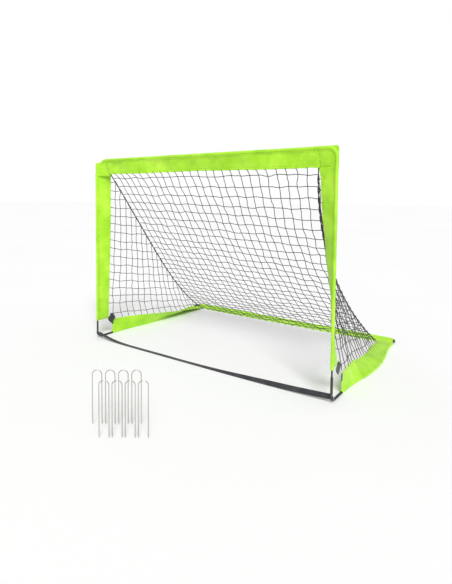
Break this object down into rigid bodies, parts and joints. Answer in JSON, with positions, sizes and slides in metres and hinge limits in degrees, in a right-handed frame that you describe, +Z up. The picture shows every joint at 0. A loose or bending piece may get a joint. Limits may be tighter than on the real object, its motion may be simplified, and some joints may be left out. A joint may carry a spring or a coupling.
{
  "type": "pop up goal",
  "caption": "Folding lawn goal with a thin rod frame in fabric sleeves, a knotted net with a sloping back, a ground strap and wire ground stakes.",
  "frame": {"origin": "on the ground, in the middle of the goal line, between the two uprights", "axes": "+X along the crossbar to the right as seen from the field, +Y from the goal line to the rear bar, +Z up"},
  "size_m": [1.243, 1.5716, 0.9],
  "materials": {
    "neon_fabric": "woven polyester with a light coating",
    "black_net": "twisted and knotted polyethylene twine",
    "dark_webbing": "woven polypropylene webbing",
    "spring_steel": "close-wound spring wire, oiled",
    "fibreglass": "pultruded rod",
    "black_tube": "black coated steel tube",
    "stake_steel": "bright zinc-plated wire"
  },
  "bodies": {
    "base": {"corner_spring_left": "spring_steel", "corner_spring_right": "spring_steel", "front_strap": "dark_webbing", "net_back": "black_net", "net_corner_cord_left": "black_net", "net_corner_cord_right": "black_net", "net_side_left": "black_net", "net_side_right": "black_net", "net_tab_left": "dark_webbing", "net_tab_right": "dark_webbing", "rail_ferrule_left": "black_tube", "rail_ferrule_right": "black_tube", "rail_rod_left": "fibreglass", "rail_rod_right": "fibreglass", "rear_bar_ferrule": "black_tube", "rear_bar_rod_left": "fibreglass", "rear_bar_rod_right": "fibreglass", "rear_elbow_left": "black_tube", "rear_elbow_right": "black_tube", "rear_sleeve": "neon_fabric", "side_sleeve_left": "neon_fabric", "side_sleeve_right": "neon_fabric", "strap_end_left": "dark_webbing", "strap_end_right": "dark_webbing"},
    "front_frame": {"corner_patch_left": "neon_fabric", "corner_patch_right": "neon_fabric", "crossbar_ferrule": "black_tube", "crossbar_rod_left": "fibreglass", "crossbar_rod_right": "fibreglass", "crossbar_sleeve": "neon_fabric", "top_elbow_left": "black_tube", "top_elbow_right": "black_tube", "upright_ferrule_left": "black_tube", "upright_ferrule_right": "black_tube", "upright_rod_left": "fibreglass", "upright_rod_right": "fibreglass", "upright_sleeve_left": "neon_fabric", "upright_sleeve_right": "neon_fabric"},
    "stake_1": {"ground_stake_1": "stake_steel"},
    "stake_2": {"ground_stake_2": "stake_steel"},
    "stake_3": {"ground_stake_3": "stake_steel"},
    "stake_4": {"ground_stake_4": "stake_steel"},
    "stake_5": {"ground_stake_5": "stake_steel"},
    "stake_6": {"ground_stake_6": "stake_steel"},
    "stake_7": {"ground_stake_7": "stake_steel"},
    "stake_8": {"ground_stake_8": "stake_steel"}
  },
  "joints": [
    {"name": "front_fold", "type": "hinge", "parent": "base", "child": "front_frame", "pos_m": [0, 0.0082, 0.014], "axis": [-1, 0, 0], "range_deg": [0, 86], "stiffness_Nm_per_rad": 2.2, "springref_deg": -11.46, "deforming": ["corner_spring_left", "corner_spring_right", "net_back", "net_corner_cord_left", "net_corner_cord_right", "net_side_left", "net_side_right", "net_tab_left", "net_tab_right", "side_sleeve_left", "side_sleeve_right", "strap_end_left", "strap_end_right", "upright_sleeve_left", "upright_sleeve_right"]},
    {"name": "stake_1_lift", "type": "slide", "parent": "base", "child": "stake_1", "axis": [0, 0, 1], "range_m": [0, 0.2]},
    {"name": "stake_2_lift", "type": "slide", "parent": "base", "child": "stake_2", "axis": [0, 0, 1], "range_m": [0, 0.2]},
    {"name": "stake_3_lift", "type": "slide", "parent": "base", "child": "stake_3", "axis": [0, 0, 1], "range_m": [0, 0.2]},
    {"name": "stake_4_lift", "type": "slide", "parent": "base", "child": "stake_4", "axis": [0, 0, 1], "range_m": [0, 0.2]},
    {"name": "stake_5_lift", "type": "slide", "parent": "base", "child": "stake_5", "axis": [0, 0, 1], "range_m": [0, 0.2]},
    {"name": "stake_6_lift", "type": "slide", "parent": "base", "child": "stake_6", "axis": [0, 0, 1], "range_m": [0, 0.2]},
    {"name": "stake_7_lift", "type": "slide", "parent": "base", "child": "stake_7", "axis": [0, 0, 1], "range_m": [0, 0.2]},
    {"name": "stake_8_lift", "type": "slide", "parent": "base", "child": "stake_8", "axis": [0, 0, 1], "range_m": [0, 0.2]}
  ]
}
